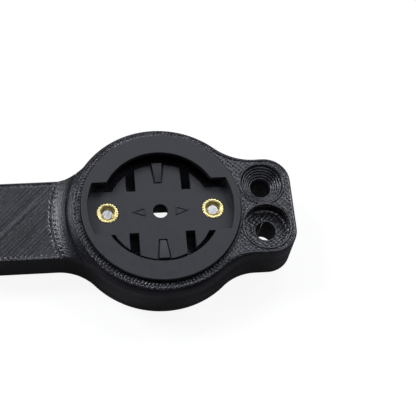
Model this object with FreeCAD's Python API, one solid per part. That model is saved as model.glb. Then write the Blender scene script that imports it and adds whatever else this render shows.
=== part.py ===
import FreeCAD, Part
import math
import os

from FreeCAD import Vector

# Wall mount for a bike computer: a printed bracket with a lug and an arm, a moulded
# quarter-turn socket, two knurled brass inserts moulded into it and two screws from behind.
# Units are millimetres. The origin is on the socket's axis, at the mouth of the centre hole
# in the socket's floor. +Z points out of the wall, +X to the lug and -X along the arm.

# Heights
BODY_THICKNESS = 11.2
ARM_THICKNESS = 7.84
POCKET_DEPTH = 5.7
SOCKET_PROUD = 1.1

# Disc of the bracket
DISC_WALL = 2.42
DISC_EDGE_ROUND = 1.8
SEAT_CLEARANCE = 0.1
WINDOW_SIDE = 8.2
WINDOW_CORNER = 1.5

# Lug with a countersunk and a counterbored hole
LUG_LENGTH = 9.5
LUG_WIDTH = 23.3
LUG_SHIFT = -0.5
LUG_CORNER = 5.7
LUG_EDGE_ROUND = 0.5
LUG_FAR_STRAIGHT = 0.8
LUG_NEAR_STRAIGHT = 3.0
HOLE_INSET = 6.55
HOLE_SHIFT = -0.3
HOLE_PITCH = 10.55
SINK_RADIUS = 4.85
SINK_RIM = 0.12
SINK_ANGLE = 90.0
SINK_HOLE_RADIUS = 2.13
BORE_RADIUS = 5.24
BORE_DEPTH = 2.9
BORE_HOLE_RADIUS = 2.3

# Arm along the wall, with a low cove where it meets the disc
ARM_WIDTH = 19.1
ARM_LENGTH = 48.0
ARM_SHIFT = -0.15
ARM_FAR_BLEND_LENGTH = 1.5
ARM_NEAR_BLEND_LENGTH = 3.2
COVE_WIDTH = 4.2
COVE_RISE = 1.5

# Quarter-turn socket
SOCKET_RADIUS = 17.78
SOCKET_EDGE_ROUND = 0.25
SOCKET_EDGE_STEPS = 2
LIP_RADIUS = 13.3
LIP_THICKNESS = 1.4
WING_RADIUS = 16.3
WING_WIDTH = 12.66
WING_FLOOR_WIDTH = 10.66
FLOOR_DEPTH = 2.8
FLOOR_THICKNESS = 1.8
PLATEAU_RADIUS = 11.75
SLOT_INNER_X = 5.2
SLOT_WIDTH = 2.08
SLOT_START_Y = 5.17
CENTRE_HOLE_RADIUS = 1.65
BOSS_RADIUS = 3.9

# Detent ramp on each tongue
RAMP_START = 7.2
RAMP_INNER_WIDTH = 1.3
RAMP_OUTER_WIDTH = 2.35
RAMP_RISE = 0.7
RAMP_GROOVE = 0.3
RAMP_GROOVE_DEPTH = 0.5

# Knurled brass inserts
INSERT_INSET = 6.18
INSERT_RADIUS = 2.5
INSERT_CLEARANCE = 0.03
INSERT_LENGTH = 4.0
INSERT_PROUD = 0.1
INSERT_BORE_CHAMFER = 0.33
INSERT_WAIST_DEPTH = 0.35
INSERT_WAIST_LENGTH = 0.8
KNURL_COUNT = 20
KNURL_DEPTH = 0.18

# Screws from behind
SCREW_RADIUS = 1.5
SCREW_LENGTH = 6.0
SCREW_TIP_CHAMFER = 0.3
THREAD_CLEARANCE = 0.05
HEAD_RADIUS = 2.75
HEAD_HEIGHT = 2.0
HEAD_EDGE_CHAMFER = 0.4
HEAD_CLEARANCE = 0.35
HEAD_SUNK = 0.9
SHANK_CLEARANCE = 0.2
HEX_ACROSS_FLATS = 2.0
HEX_DEPTH = 1.1

# Each cut reaches this far past the faces that it opens
PAST = 1.0

# Levels that follow from the sizes above
FLOOR_TOP = 0.0
SOCKET_TOP = FLOOR_TOP + FLOOR_DEPTH
FLOOR_UNDER = FLOOR_TOP - FLOOR_THICKNESS
BODY_TOP = SOCKET_TOP - SOCKET_PROUD
WALL_FACE = BODY_TOP - BODY_THICKNESS
ARM_TOP = WALL_FACE + ARM_THICKNESS
POCKET_FLOOR = BODY_TOP - POCKET_DEPTH
HEAD_SEAT = WALL_FACE + HEAD_SUNK + HEAD_HEIGHT

# Outlines that follow from the sizes above
SEAT_RADIUS = SOCKET_RADIUS + SEAT_CLEARANCE
DISC_RADIUS = SEAT_RADIUS + DISC_WALL
COVE_RADIUS = DISC_RADIUS + COVE_WIDTH
LUG_REACH = DISC_RADIUS + LUG_LENGTH
HOLE_X = LUG_REACH - HOLE_INSET
INSERT_X = SOCKET_RADIUS - INSERT_INSET
HOLE_YS = (HOLE_SHIFT + HOLE_PITCH / 2, HOLE_SHIFT - HOLE_PITCH / 2)


def cylinder(radius, low, high, x=0.0, y=0.0):
    """Upright cylinder between two heights."""
    return Part.makeCylinder(radius, high - low, Vector(x, y, low))


def block(x0, x1, y0, y1, low, high):
    """Upright box between two corners."""
    return Part.makeBox(x1 - x0, y1 - y0, high - low, Vector(x0, y0, low))


def prism(points, low, high):
    """Upright prism on a closed polygon of (x, y) points."""
    corners = [Vector(x, y, low) for x, y in points]
    face = Part.Face(Part.makePolygon(corners + corners[:1]))
    return face.extrude(Vector(0, 0, high - low))


def revolved(profile, x=0.0, y=0.0):
    """Solid of revolution about the upright line at x, y from (radius, height) points."""
    corners = [Vector(x + radius, y, height) for radius, height in profile]
    face = Part.Face(Part.makePolygon(corners + corners[:1]))
    return face.revolve(Vector(x, y, 0), Vector(0, 0, 1), 360)


def outline_prism(edges, low, high):
    """Upright prism on a closed outline of edges drawn at height zero."""
    face = Part.Face(Part.Wire(Part.__sortEdges__(edges)))
    face.translate(Vector(0, 0, low))
    return face.extrude(Vector(0, 0, high - low))


def line(start, end):
    return Part.LineSegment(start, end).toShape()


def arc(centre, radius, start, end):
    """Circular edge about centre that runs the short way from start to end."""
    towards = (start + end) * 0.5 - centre
    towards.normalize()
    return Part.Arc(start, centre + towards * radius, end).toShape()


def blend_against_disc(edge_x, edge_y):
    """Concave arc that leaves the disc and meets a straight edge along X at one point.

    Returns its centre, its radius, its end on the disc and its end on the edge.
    """
    reach = abs(edge_y)
    radius = (edge_x ** 2 + reach ** 2 - DISC_RADIUS ** 2) / (2 * (DISC_RADIUS - reach))
    centre = Vector(edge_x, edge_y + math.copysign(radius, edge_y), 0)
    on_disc = centre * (DISC_RADIUS / (DISC_RADIUS + radius))
    return centre, radius, on_disc, Vector(edge_x, edge_y, 0)


def lug_outline():
    """Disc and lug in one outline, with a concave arc on either side of the lug."""
    edge_high = LUG_SHIFT + LUG_WIDTH / 2
    edge_low = LUG_SHIFT - LUG_WIDTH / 2
    turn_x = LUG_REACH - LUG_CORNER
    turn_high = edge_high - LUG_CORNER
    turn_low = edge_low + LUG_CORNER
    far = blend_against_disc(turn_x - LUG_FAR_STRAIGHT, edge_high)
    near = blend_against_disc(turn_x - LUG_NEAR_STRAIGHT, edge_low)
    centre_high, radius_high, disc_high, start_high = far
    centre_low, radius_low, disc_low, start_low = near
    return [
        Part.Arc(disc_low, Vector(-DISC_RADIUS, 0, 0), disc_high).toShape(),
        arc(centre_high, radius_high, disc_high, start_high),
        line(start_high, Vector(turn_x, edge_high, 0)),
        arc(
            Vector(turn_x, turn_high, 0),
            LUG_CORNER,
            Vector(turn_x, edge_high, 0),
            Vector(LUG_REACH, turn_high, 0),
        ),
        line(Vector(LUG_REACH, turn_high, 0), Vector(LUG_REACH, turn_low, 0)),
        arc(
            Vector(turn_x, turn_low, 0),
            LUG_CORNER,
            Vector(LUG_REACH, turn_low, 0),
            Vector(turn_x, edge_low, 0),
        ),
        line(Vector(turn_x, edge_low, 0), start_low),
        arc(centre_low, radius_low, start_low, disc_low),
    ]


def round_top(slab):
    """Round the slab's front edge: fully round at the disc, slight at the lug.

    Along the two concave arcs the radius runs evenly from one value to the other.
    """
    document = FreeCAD.newDocument("rounding")
    base = document.addObject("Part::Feature", "Base")
    base.Shape = slab
    fillet = document.addObject("Part::Fillet", "Fillet")
    fillet.Base = base
    choice = []
    for number, edge in enumerate(slab.Edges, 1):
        box = edge.BoundBox
        if box.ZLength > 1e-6 or abs(box.ZMax - BODY_TOP) > 1e-6:
            continue
        ends = []
        for parameter in (edge.FirstParameter, edge.LastParameter):
            point = edge.valueAt(parameter)
            on_disc = abs(math.hypot(point.x, point.y) - DISC_RADIUS) < 1e-4
            ends.append(DISC_EDGE_ROUND if on_disc else LUG_EDGE_ROUND)
        choice.append((number, ends[0], ends[1]))
    fillet.Edges = choice
    document.recompute()
    shape = fillet.Shape.copy()
    FreeCAD.closeDocument(document.Name)
    return shape.Solids[0]


def arm_outline():
    """Arm with a round far end and a concave arc on either side where it meets the disc."""
    edge_high = ARM_SHIFT + ARM_WIDTH / 2
    edge_low = ARM_SHIFT - ARM_WIDTH / 2
    end_high = Vector(ARM_WIDTH / 2 - ARM_LENGTH, edge_high, 0)
    end_low = Vector(ARM_WIDTH / 2 - ARM_LENGTH, edge_low, 0)
    far = blend_against_disc(-DISC_RADIUS - ARM_FAR_BLEND_LENGTH, edge_high)
    near = blend_against_disc(-DISC_RADIUS - ARM_NEAR_BLEND_LENGTH, edge_low)
    centre_high, radius_high, disc_high, start_high = far
    centre_low, radius_low, disc_low, start_low = near
    return [
        line(start_high, end_high),
        Part.Arc(end_high, Vector(-ARM_LENGTH, ARM_SHIFT, 0), end_low).toShape(),
        line(end_low, start_low),
        arc(centre_low, radius_low, start_low, disc_low),
        line(disc_low, Vector(0, 0, 0)),
        line(Vector(0, 0, 0), disc_high),
        arc(centre_high, radius_high, disc_high, start_high),
    ]


def make_arm():
    """Flat arm, with a cove that climbs from its front face to the disc."""
    arm = outline_prism(arm_outline(), WALL_FACE, ARM_TOP)
    above = outline_prism(arm_outline(), ARM_TOP - PAST, ARM_TOP + COVE_RISE)
    return arm.fuse(above.common(cove()))


def cove():
    """Solid round the disc whose hollow side leaves the arm level and steepens inwards."""
    run = COVE_RADIUS - DISC_RADIUS
    radius = (run ** 2 + COVE_RISE ** 2) / (2 * COVE_RISE)
    sweep = math.asin(run / radius)
    corners = []
    for angle in (0, sweep / 2, sweep):
        corners.append(
            Vector(COVE_RADIUS - radius * math.sin(angle), 0, ARM_TOP + radius * (1 - math.cos(angle)))
        )
    outer, middle, inner = corners
    below_outer = Vector(COVE_RADIUS, 0, ARM_TOP - PAST)
    below_axis = Vector(0, 0, ARM_TOP - PAST)
    above_axis = Vector(0, 0, ARM_TOP + COVE_RISE)
    edges = [
        Part.Arc(outer, middle, inner).toShape(),
        line(inner, above_axis),
        line(above_axis, below_axis),
        line(below_axis, below_outer),
        line(below_outer, outer),
    ]
    face = Part.Face(Part.Wire(edges))
    return face.revolve(Vector(0, 0, 0), Vector(0, 0, 1), 360)


def lug_hole_cuts():
    """The countersunk hole and the counterbored hole in the lug."""
    sink_y, bore_y = HOLE_YS
    taper = (SINK_RADIUS - SINK_HOLE_RADIUS) / math.tan(math.radians(SINK_ANGLE / 2))
    cone_top = BODY_TOP - SINK_RIM
    sink = revolved(
        [
            (0, WALL_FACE - PAST),
            (SINK_HOLE_RADIUS, WALL_FACE - PAST),
            (SINK_HOLE_RADIUS, cone_top - taper),
            (SINK_RADIUS, cone_top),
            (SINK_RADIUS, BODY_TOP + PAST),
            (0, BODY_TOP + PAST),
        ],
        HOLE_X,
        sink_y,
    )
    bore_hole = cylinder(BORE_HOLE_RADIUS, WALL_FACE - PAST, BODY_TOP, HOLE_X, bore_y)
    bore_head = cylinder(BORE_RADIUS, BODY_TOP - BORE_DEPTH, BODY_TOP + PAST, HOLE_X, bore_y)
    return [sink, bore_hole, bore_head]


def pocket_cuts():
    """Pocket for the socket, window behind its centre and seats for the two screws."""
    half = WINDOW_SIDE / 2
    window = block(-half, half, -half, half, WALL_FACE - PAST, POCKET_FLOOR + PAST)
    upright = [edge for edge in window.Edges if edge.BoundBox.ZLength > WINDOW_CORNER]
    cuts = [
        cylinder(SEAT_RADIUS, POCKET_FLOOR, BODY_TOP + PAST),
        window.makeFillet(WINDOW_CORNER, upright),
    ]
    for x in (-INSERT_X, INSERT_X):
        cuts.append(cylinder(SCREW_RADIUS + SHANK_CLEARANCE, HEAD_SEAT - PAST, POCKET_FLOOR + PAST, x))
        cuts.append(cylinder(HEAD_RADIUS + HEAD_CLEARANCE, WALL_FACE - PAST, HEAD_SEAT, x))
    return cuts


def make_bracket():
    slab = outline_prism(lug_outline(), WALL_FACE, BODY_TOP)
    body = round_top(slab).fuse(make_arm())
    return body.cut(pocket_cuts() + lug_hole_cuts()).removeSplitter()


def ramp_plan(margin):
    """Corners of a detent ramp that widens outwards, grown by a margin on three sides."""
    start = RAMP_START - margin
    end = PLATEAU_RADIUS + PAST
    slope = (RAMP_OUTER_WIDTH - RAMP_INNER_WIDTH) / (2 * (PLATEAU_RADIUS - RAMP_START))

    def half_width(y):
        return RAMP_INNER_WIDTH / 2 + slope * (y - RAMP_START) + margin

    return [
        (half_width(start), start),
        (half_width(end), end),
        (-half_width(end), end),
        (-half_width(start), start),
    ]


def add_ramps(socket):
    """Cut the groove round each detent ramp and stand the ramp in it."""
    edge = cylinder(PLATEAU_RADIUS, FLOOR_UNDER, FLOOR_TOP + RAMP_RISE)
    run = PLATEAU_RADIUS - RAMP_START
    profile = [
        Vector(0, RAMP_START, FLOOR_TOP - RAMP_GROOVE_DEPTH),
        Vector(0, RAMP_START, FLOOR_TOP),
        Vector(0, RAMP_START + run / 2, FLOOR_TOP + RAMP_RISE),
        Vector(0, PLATEAU_RADIUS + PAST, FLOOR_TOP + RAMP_RISE),
        Vector(0, PLATEAU_RADIUS + PAST, FLOOR_TOP - RAMP_GROOVE_DEPTH),
    ]
    side = Part.Face(Part.makePolygon(profile + profile[:1]))
    side.translate(Vector(-RAMP_OUTER_WIDTH, 0, 0))
    wedge = side.extrude(Vector(2 * RAMP_OUTER_WIDTH, 0, 0))
    plan = prism(ramp_plan(0), FLOOR_UNDER, FLOOR_TOP + RAMP_RISE)
    ramp = wedge.common(plan).common(edge)
    groove = prism(ramp_plan(RAMP_GROOVE), FLOOR_TOP - RAMP_GROOVE_DEPTH, FLOOR_TOP + RAMP_RISE)
    for turn in (0, 180):
        for shape in (groove, ramp):
            shape.rotate(Vector(0, 0, 0), Vector(0, 0, 1), turn)
        socket = socket.cut(groove).fuse(ramp)
    return socket


def make_socket():
    """Moulded socket: rim with an undercut lip, floor with four slots, bosses and ramps."""
    lip_under = SOCKET_TOP - LIP_THICKNESS
    profile = [(WING_RADIUS, POCKET_FLOOR), (SOCKET_RADIUS, POCKET_FLOOR)]
    for step in range(SOCKET_EDGE_STEPS + 1):
        angle = math.pi / 2 * step / SOCKET_EDGE_STEPS
        inwards = SOCKET_EDGE_ROUND * (1 - math.cos(angle))
        below = SOCKET_EDGE_ROUND * (1 - math.sin(angle))
        profile.append((SOCKET_RADIUS - inwards, SOCKET_TOP - below))
    profile += [(LIP_RADIUS, SOCKET_TOP), (LIP_RADIUS, lip_under), (WING_RADIUS, lip_under)]
    rim = revolved(profile)
    wing = WING_WIDTH / 2
    wings = block(-WING_RADIUS, WING_RADIUS, -wing, wing, lip_under - PAST, SOCKET_TOP + PAST)
    rim = rim.cut(wings.common(cylinder(WING_RADIUS, lip_under - PAST, SOCKET_TOP + PAST)))

    bridge = WING_FLOOR_WIDTH / 2
    floor = block(-SOCKET_RADIUS, SOCKET_RADIUS, -bridge, bridge, FLOOR_UNDER, FLOOR_TOP)
    floor = floor.common(cylinder((WING_RADIUS + SOCKET_RADIUS) / 2, FLOOR_UNDER, FLOOR_TOP))
    floor = floor.fuse(cylinder(PLATEAU_RADIUS, FLOOR_UNDER, FLOOR_TOP))
    socket = rim.fuse(floor)
    cuts = [cylinder(CENTRE_HOLE_RADIUS, FLOOR_UNDER - PAST, FLOOR_TOP + PAST)]
    for side in (-1, 1):
        socket = socket.fuse(cylinder(BOSS_RADIUS, POCKET_FLOOR, FLOOR_TOP, side * INSERT_X))
        hole = INSERT_RADIUS + INSERT_CLEARANCE
        cuts.append(cylinder(hole, POCKET_FLOOR - PAST, FLOOR_TOP + PAST, side * INSERT_X))
        for end in (-1, 1):
            x0, x1 = sorted((side * SLOT_INNER_X, side * (SLOT_INNER_X + SLOT_WIDTH)))
            y0, y1 = sorted((end * SLOT_START_Y, end * (PLATEAU_RADIUS + PAST)))
            cuts.append(block(x0, x1, y0, y1, FLOOR_UNDER - PAST, FLOOR_TOP + PAST))
    return add_ramps(socket.cut(cuts)).removeSplitter()


def make_insert(x):
    """Brass insert: two knurled bands with a waist between them and a chamfered bore."""
    low = FLOOR_TOP + INSERT_PROUD - INSERT_LENGTH
    high = FLOOR_TOP + INSERT_PROUD
    points = []
    for step in range(2 * KNURL_COUNT):
        angle = math.pi * step / KNURL_COUNT
        radius = INSERT_RADIUS - KNURL_DEPTH * (step % 2)
        points.append((x + radius * math.cos(angle), radius * math.sin(angle)))
    middle = (low + high) / 2
    half = INSERT_WAIST_LENGTH / 2
    waist = cylinder(INSERT_RADIUS + PAST, middle - half, middle + half, x)
    waist = waist.cut(cylinder(INSERT_RADIUS - INSERT_WAIST_DEPTH, middle - half, middle + half, x))
    bore_radius = SCREW_RADIUS + THREAD_CLEARANCE
    mouth = bore_radius + INSERT_BORE_CHAMFER
    bore = revolved(
        [
            (0, low - PAST),
            (bore_radius, low - PAST),
            (bore_radius, high - INSERT_BORE_CHAMFER),
            (mouth, high),
            (mouth, high + PAST),
            (0, high + PAST),
        ],
        x,
    )
    return prism(points, low, high).cut([waist, bore])


def make_screw(x):
    """Screw with a chamfered head and tip and a hexagon socket."""
    head_low = HEAD_SEAT - HEAD_HEIGHT
    tip = HEAD_SEAT + SCREW_LENGTH
    head = cylinder(HEAD_RADIUS, head_low, HEAD_SEAT, x)
    rim = [edge for edge in head.Edges if edge.BoundBox.ZMax < head_low + 1e-6]
    head = head.makeChamfer(HEAD_EDGE_CHAMFER, rim)
    shank = cylinder(SCREW_RADIUS, HEAD_SEAT, tip, x)
    rim = [edge for edge in shank.Edges if edge.BoundBox.ZMin > tip - 1e-6]
    shank = shank.makeChamfer(SCREW_TIP_CHAMFER, rim)
    corner = HEX_ACROSS_FLATS / math.sqrt(3)
    points = []
    for step in range(6):
        angle = math.radians(60 * step)
        points.append((x + corner * math.cos(angle), corner * math.sin(angle)))
    key = prism(points, head_low - PAST, head_low + HEX_DEPTH)
    return head.fuse(shank).cut(key).removeSplitter()


def main():
    os.makedirs("parts", exist_ok=True)
    nodes = {
        "bracket": make_bracket(),
        "quarter_turn_socket": make_socket(),
        "brass_insert_left": make_insert(-INSERT_X),
        "brass_insert_right": make_insert(INSERT_X),
        "screw_left": make_screw(-INSERT_X),
        "screw_right": make_screw(INSERT_X),
    }
    for name, shape in nodes.items():
        solid = shape.Solids[0]
        print(name, len(shape.Solids), shape.isValid(), round(solid.Volume, 2))
        solid.exportStep("parts/" + name + ".step")


main()
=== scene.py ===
import math

import bmesh
import bpy
import numpy as np
from mathutils import Matrix, Vector
from mathutils.geometry import delaunay_2d_cdt


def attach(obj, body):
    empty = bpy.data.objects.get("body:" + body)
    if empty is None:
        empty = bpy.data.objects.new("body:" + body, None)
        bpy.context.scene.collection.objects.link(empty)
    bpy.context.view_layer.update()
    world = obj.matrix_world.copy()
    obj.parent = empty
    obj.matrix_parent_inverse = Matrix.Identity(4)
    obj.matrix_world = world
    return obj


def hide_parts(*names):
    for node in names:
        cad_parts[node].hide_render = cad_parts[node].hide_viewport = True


# Looks of a bike computer's wall mount. Sizes are in millimetres and meshes are scaled
# to metres when they are made. The frame is the model's: +Z out of the wall, +X to the lug.

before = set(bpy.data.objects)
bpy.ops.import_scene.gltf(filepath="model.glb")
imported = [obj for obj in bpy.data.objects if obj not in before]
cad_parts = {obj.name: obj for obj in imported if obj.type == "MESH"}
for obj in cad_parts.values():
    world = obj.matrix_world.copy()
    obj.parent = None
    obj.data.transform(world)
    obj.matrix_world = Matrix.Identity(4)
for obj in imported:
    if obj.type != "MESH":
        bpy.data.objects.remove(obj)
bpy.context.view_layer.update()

MM = 0.001

# Bracket
BODY_TOP = 1.7
WALL_FACE = -9.5
ARM_TOP = -1.66
POCKET_FLOOR = -4.0
SEAT_RADIUS = 17.88
DISC_RADIUS = 20.29
DISC_EDGE_ROUND = 1.8
LUG_REACH = 29.8
LUG_HIGH = 11.15
LUG_LOW = -12.15
LUG_CORNER = 5.7
LUG_EDGE_ROUND = 0.5
LUG_MEET_HIGH = 23.3
LUG_MEET_LOW = 21.1
ARM_LENGTH = 47.98
ARM_HIGH = 9.4
ARM_LOW = -9.7
ARM_MEET_HIGH = -21.8
ARM_MEET_LOW = -23.5
ARM_INNER_RADIUS = SEAT_RADIUS + 0.9
ARM_EDGE_DROP = 0.05
ARM_EDGE_INSET = 0.06
HOLE_X = 23.25
SINK_Y = 4.975
BORE_Y = -5.575
SINK_RADIUS = 4.85
SINK_HOLE_RADIUS = 2.13
BORE_RADIUS = 5.24
BORE_HOLE_RADIUS = 2.3
BORE_FLOOR = BODY_TOP - 2.9
WINDOW_HALF = 4.1
WINDOW_CORNER = 1.5
INSERT_X = 11.82
HEAD_SEAT = -6.6
HEAD_SEAT_RADIUS = 3.1
SCREW_HOLE_RADIUS = 1.7

# How far cuts reach past the faces that they open
CUT_PAST = 1.0

# Climb from the arm to the disc
COVE_RADIUS = 24.3
COVE_SLOPE = 0.47
COVE_BEND = 0.015
COVE_STEEPENING = 0.00225
CREASE_RADIUS = 21.12
CREASE_DEPTH = 0.25
SHOULDER_RADIUS = 19.45
SHOULDER_SINK = 0.03
SHOULDER_BEND = 0.033
SHOULDER_DROP = 1.8
SHOULDER_DROP_START = 1.2
SHOULDER_RIPPLE = 0.02

# Socket
SOCKET_RADIUS = 17.78
SOCKET_TOP = 2.8
SOCKET_EDGE = 0.25
LIP_RADIUS = 13.3
LIP_UNDER = 1.4
WING_RADIUS = 16.3
WING_HALF = 6.33
BRIDGE_HALF = 5.33
BRIDGE_RADIUS = 17.0
FLOOR_UNDER = -1.8
PLATEAU_RADIUS = 11.75
SLOT_NEAR_X = 5.2
SLOT_FAR_X = 7.28
SLOT_START = 5.17
CENTRE_RADIUS = 1.65
BOSS_RADIUS = 3.9
RAMP_START = 7.2
RAMP_HALF_IN = 0.65
RAMP_HALF_OUT = 1.175
RAMP_RISE = 0.7
RAMP_GROOVE = 0.3
RAMP_GROOVE_FLOOR = -0.5
MARK_X = 4.85
MARK_TIP = 1.55
MARK_BACK = -1.45
MARK_HALF = 1.2
MARK_LINE = 0.38
SOFT = 0.08

# Inserts and screws
INSERT_TOP = 0.1
INSERT_FOOT = -3.9
INSERT_RADIUS = 2.5
INSERT_HOLE = 2.53
KNURL_COUNT = 22
KNURL_DEPTH = 0.26
THREAD_PITCH = 0.5
THREAD_DEPTH = 0.2
THREAD_STEP = 0.0625
INSERT_CORE = 1.36
SCREW_CORE = 1.13
HEAD_RADIUS = 2.75
SCREW_TIP = -0.6
SCREW_FOOT = -8.6

# Print lines
LAYER = 0.28
LAYERS = round((BODY_TOP - WALL_FACE) / LAYER)
GROOVE = 0.03
BEAD = 0.42
BEAD_DEPTH = 0.05
FRONT_BEAD_DEPTH = 0.1
RASTER = 0.79
RASTER_DEPTH = 0.2
RASTER_SINK = 1.3
PIT_PITCH = 1.15
RIM_WIDTH = 1.45
RIM_MIDDLE = 18.7
RIM_DEPTH = 0.15
RIM_PITCH = 0.8
RIM_KNOT = 0.11
RIM_LINE = 0.85
RIM_LINE_WIDTH = 0.14
RIM_LINE_DEPTH = 0.08
BORDER_LINE = 0.38
BORDER_INNER_LINE = 0.75
FOOT_LINE = 0.4
FOOT_LINE_HALF = 0.25
FOOT_LINE_CREST = 0.02
FOOT_LINE_DEPTH = 0.15
STREAK_LINE = 22.45
STREAK_WIDTH = 0.36
STREAK_HEIGHT = 0.13
STREAK_START = -33
STREAK_END = -14
SEAM_HEIGHT = 0.1
SEAM_HALF = 0.3
SEAM_FOOT = -1.5
STRAND_START = (20.9, -6.85)
STRAND_END = (23.35, -2.9)
STRAND_SINK = 0.2
STRAND_ARCH = 0.5
STRAND_WAVE = 0.12
STRAND_RADIUS = 0.12
CHANCE = np.random.RandomState(5).rand(64, 64)

LEDGE = BODY_TOP - LAYER
FRONT_HOLES = [(0, 0, SEAT_RADIUS), (HOLE_X, SINK_Y, SINK_RADIUS), (HOLE_X, BORE_Y, BORE_RADIUS)]


# Meshes


def new_object(name, points, faces):
    """Mesh object from points in millimetres."""
    mesh = bpy.data.meshes.new(name)
    mesh.from_pydata([tuple(p) for p in np.asarray(points, float) * MM], [], faces)
    mesh.validate()
    piece = bpy.data.objects.new(name, mesh)
    bpy.context.scene.collection.objects.link(piece)
    return piece


def clean_mesh(piece, distance=0.0004):
    """Merge doubled points and turn all normals outwards."""
    work = bmesh.new()
    work.from_mesh(piece.data)
    bmesh.ops.remove_doubles(work, verts=work.verts, dist=distance * MM)
    bmesh.ops.recalc_face_normals(work, faces=work.faces)
    work.to_mesh(piece.data)
    work.free()
    return piece


def join(name, pieces):
    """One mesh from several."""
    work = bmesh.new()
    for piece in pieces:
        work.from_mesh(piece.data)
    mesh = bpy.data.meshes.new(name)
    work.to_mesh(mesh)
    work.free()
    for piece in pieces:
        bpy.data.objects.remove(piece)
    joined = bpy.data.objects.new(name, mesh)
    bpy.context.scene.collection.objects.link(joined)
    return joined


def boolean(piece, other, operation):
    """Apply a union or difference and delete the other mesh."""
    modifier = piece.modifiers.new("shape", "BOOLEAN")
    modifier.operation = operation
    modifier.solver = "MANIFOLD"
    modifier.object = other
    bpy.context.view_layer.update()
    graph = bpy.context.evaluated_depsgraph_get()
    mesh = bpy.data.meshes.new_from_object(piece.evaluated_get(graph))
    piece.modifiers.clear()
    piece.data = mesh
    bpy.data.objects.remove(other)
    return piece


def smooth(piece, degrees):
    """Shade smooth, apart from edges sharper than an angle."""
    for polygon in piece.data.polygons:
        polygon.use_smooth = True
    piece.data.set_sharp_from_angle(angle=math.radians(degrees))
    return piece


def strip_faces(rows, columns):
    """Quads between consecutive rings of points."""
    faces = []
    for row in range(rows - 1):
        for column in range(columns):
            a = row * columns + column
            b = row * columns + (column + 1) % columns
            faces.append((a, b, b + columns, a + columns))
    return faces


def tube(name, rings, low_end=True, high_end=True):
    """Mesh through rings with equally many points, with a face over one end or both."""
    columns = len(rings[0])
    faces = strip_faces(len(rings), columns)
    if low_end:
        faces.append(tuple(range(columns))[::-1])
    if high_end:
        last = (len(rings) - 1) * columns
        faces.append(tuple(range(last, last + columns)))
    return new_object(name, np.concatenate(rings), faces)


def level(outline, z):
    """Outline at one height or at a height for each point."""
    return np.column_stack([outline, z * np.ones(len(outline))])


def circle(radius, columns, x=0.0, y=0.0):
    """Points on a circle, anticlockwise."""
    angles = np.arange(columns) * 2 * math.pi / columns
    return np.stack([x + radius * np.cos(angles), y + radius * np.sin(angles)], 1)


def polar(radius, degrees):
    """Point at a radius and an angle."""
    angle = math.radians(degrees)
    return radius * math.cos(angle), radius * math.sin(angle)


def revolve(name, profile, columns, centre=(0.0, 0.0), shift=None):
    """Closed solid of revolution from (radius, height) points, low to high.

    shift(angle, radius, height) moves single points outwards.
    """
    rings = []
    for radius, height in profile:
        ring = []
        for angle in np.arange(columns) * 2 * math.pi / columns:
            r = radius + (shift(angle, radius, height) if shift else 0.0)
            ring.append((centre[0] + r * math.cos(angle), centre[1] + r * math.sin(angle), height))
        rings.append(ring)
    return clean_mesh(tube(name, rings))


def arc_points(centre, radius, start, end, step):
    """Points on an arc between two angles in degrees, without the last."""
    count = max(2, int(abs(math.radians(end - start)) * radius / step))
    angles = np.radians(np.linspace(start, end, count, endpoint=False))
    return [(centre[0] + radius * math.cos(a), centre[1] + radius * math.sin(a)) for a in angles]


def line_points(start, end, step):
    """Points on a line, without the last."""
    count = max(1, int(math.dist(start, end) / step))
    return [
        (start[0] + (end[0] - start[0]) * k / count, start[1] + (end[1] - start[1]) * k / count)
        for k in range(count)
    ]


def blend(edge_x, edge_y):
    """Concave arc from a straight edge to the disc: centre, radius and angle towards the disc."""
    reach = abs(edge_y)
    radius = (edge_x**2 + reach**2 - DISC_RADIUS**2) / (2 * (DISC_RADIUS - reach))
    centre = (edge_x, edge_y + math.copysign(radius, edge_y))
    return centre, radius, math.degrees(math.atan2(-centre[1], -centre[0]))


def slab_outline(step):
    """Disc and lug, anticlockwise, and the share of the disc's edge round at each point."""
    centre_high, radius_high, turn_high = blend(LUG_MEET_HIGH, LUG_HIGH)
    centre_low, radius_low, turn_low = blend(LUG_MEET_LOW, LUG_LOW)
    corner = LUG_CORNER
    turn_x = LUG_REACH - corner
    runs = [
        (arc_points((0, 0), DISC_RADIUS, 180 + turn_high, 180 + turn_low, step), 1, 1),
        (arc_points(centre_low, radius_low, turn_low, 90, step), 1, 0),
        (line_points((LUG_MEET_LOW, LUG_LOW), (turn_x, LUG_LOW), step), 0, 0),
        (arc_points((turn_x, LUG_LOW + corner), corner, -90, 0, step * 0.8), 0, 0),
        (line_points((LUG_REACH, LUG_LOW + corner), (LUG_REACH, LUG_HIGH - corner), step), 0, 0),
        (arc_points((turn_x, LUG_HIGH - corner), corner, 0, 90, step * 0.8), 0, 0),
        (line_points((turn_x, LUG_HIGH), (LUG_MEET_HIGH, LUG_HIGH), step), 0, 0),
        (arc_points(centre_high, radius_high, -90, turn_high, step), 0, 1),
    ]
    points = []
    shares = []
    for run, first, last in runs:
        points += run
        shares += list(np.linspace(first, last, len(run), endpoint=False))
    return np.array(points), np.array(shares)


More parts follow.
